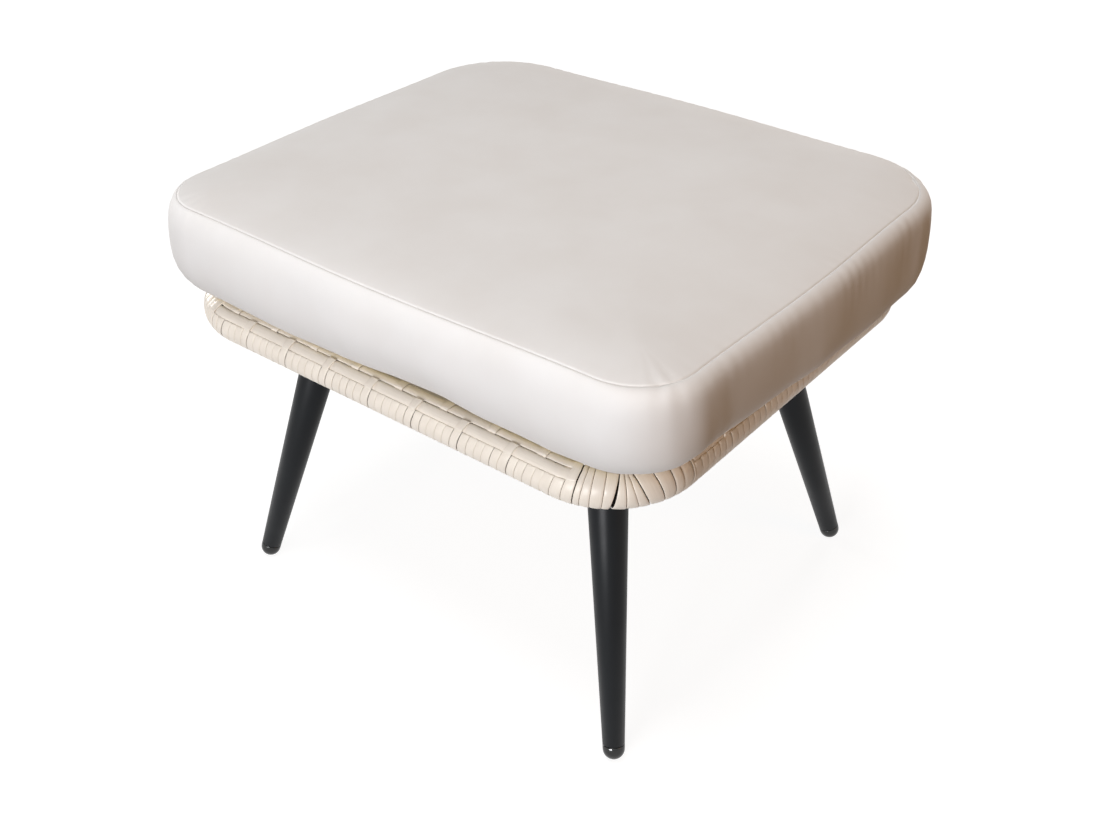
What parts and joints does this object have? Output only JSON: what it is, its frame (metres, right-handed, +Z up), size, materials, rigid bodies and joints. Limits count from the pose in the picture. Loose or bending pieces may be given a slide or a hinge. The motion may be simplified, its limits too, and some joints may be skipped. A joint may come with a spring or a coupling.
{
  "type": "outdoor ottoman footstool",
  "caption": "Outdoor footstool with a woven rim and deck on a steel rail, splayed tapered round legs with foot caps, and a lift-off zipped box cushion.",
  "frame": {"origin": "on the ground, under the middle of the footstool's box", "axes": "+X along the long side, +Y from the front to the back where the cushion's zip is, +Z up"},
  "size_m": [0.546, 0.4673, 0.406],
  "materials": {
    "strand": "satin",
    "steel": "matte",
    "leg": "matte",
    "cap": "gloss",
    "zinc": "satin",
    "cloth": "matte",
    "foam": "matte",
    "tape": "matte",
    "chain": "satin"
  },
  "bodies": {
    "frame": {"rail_tube": "steel", "cross_bar_left": "steel", "cross_bar_right": "steel", "deck_weave": "strand", "wrap_front": "strand", "runner_lower_front": "strand", "runner_upper_front": "strand", "wrap_right": "strand", "runner_lower_right": "strand", "runner_upper_right": "strand", "wrap_back": "strand", "runner_lower_back": "strand", "runner_upper_back": "strand", "wrap_left": "strand", "runner_lower_left": "strand", "runner_upper_left": "strand", "wrap_corner_front_left": "strand", "wrap_corner_front_right": "strand", "wrap_corner_back_right": "strand", "wrap_corner_back_left": "strand", "leg_front_left": "leg", "foot_cap_front_left": "cap", "leg_insert_front_left": "cap", "leg_stud_front_left": "zinc", "leg_bracket_front_left": "steel", "bracket_screw_front_left_a": "zinc", "bracket_screw_front_left_b": "zinc", "leg_front_right": "leg", "foot_cap_front_right": "cap", "leg_insert_front_right": "cap", "leg_stud_front_right": "zinc", "leg_bracket_front_right": "steel", "bracket_screw_front_right_a": "zinc", "bracket_screw_front_right_b": "zinc", "leg_back_right": "leg", "foot_cap_back_right": "cap", "leg_insert_back_right": "cap", "leg_stud_back_right": "zinc", "leg_bracket_back_right": "steel", "bracket_screw_back_right_a": "zinc", "bracket_screw_back_right_b": "zinc", "leg_back_left": "leg", "foot_cap_back_left": "cap", "leg_insert_back_left": "cap", "leg_stud_back_left": "zinc", "leg_bracket_back_left": "steel", "bracket_screw_back_left_a": "zinc", "bracket_screw_back_left_b": "zinc"},
    "cushion": {"cushion_cover": "cloth", "cushion_foam": "foam", "zip_tape_upper": "tape", "zip_tape_lower": "tape", "zip_chain": "chain", "zip_stop_start": "zinc", "zip_stop_end": "zinc"},
    "zip_slider_body": {"zip_slider": "zinc"},
    "zip_pull_body": {"zip_pull": "zinc"}
  },
  "joints": [
    {"name": "cushion_lift_off", "type": "slide", "parent": "frame", "child": "cushion", "axis": [0, 0, 1], "range_m": [0, 0.2]},
    {"name": "zip_slide", "type": "slide", "parent": "cushion", "child": "zip_slider_body", "axis": [1, 0, 0], "range_m": [0, 0.2813]},
    {"name": "zip_pull_turn", "type": "hinge", "parent": "zip_slider_body", "child": "zip_pull_body", "pos_m": [-0.14065, 0.23175, 0.35295], "axis": [0, 0, 1], "range_deg": [0, 180]}
  ]
}
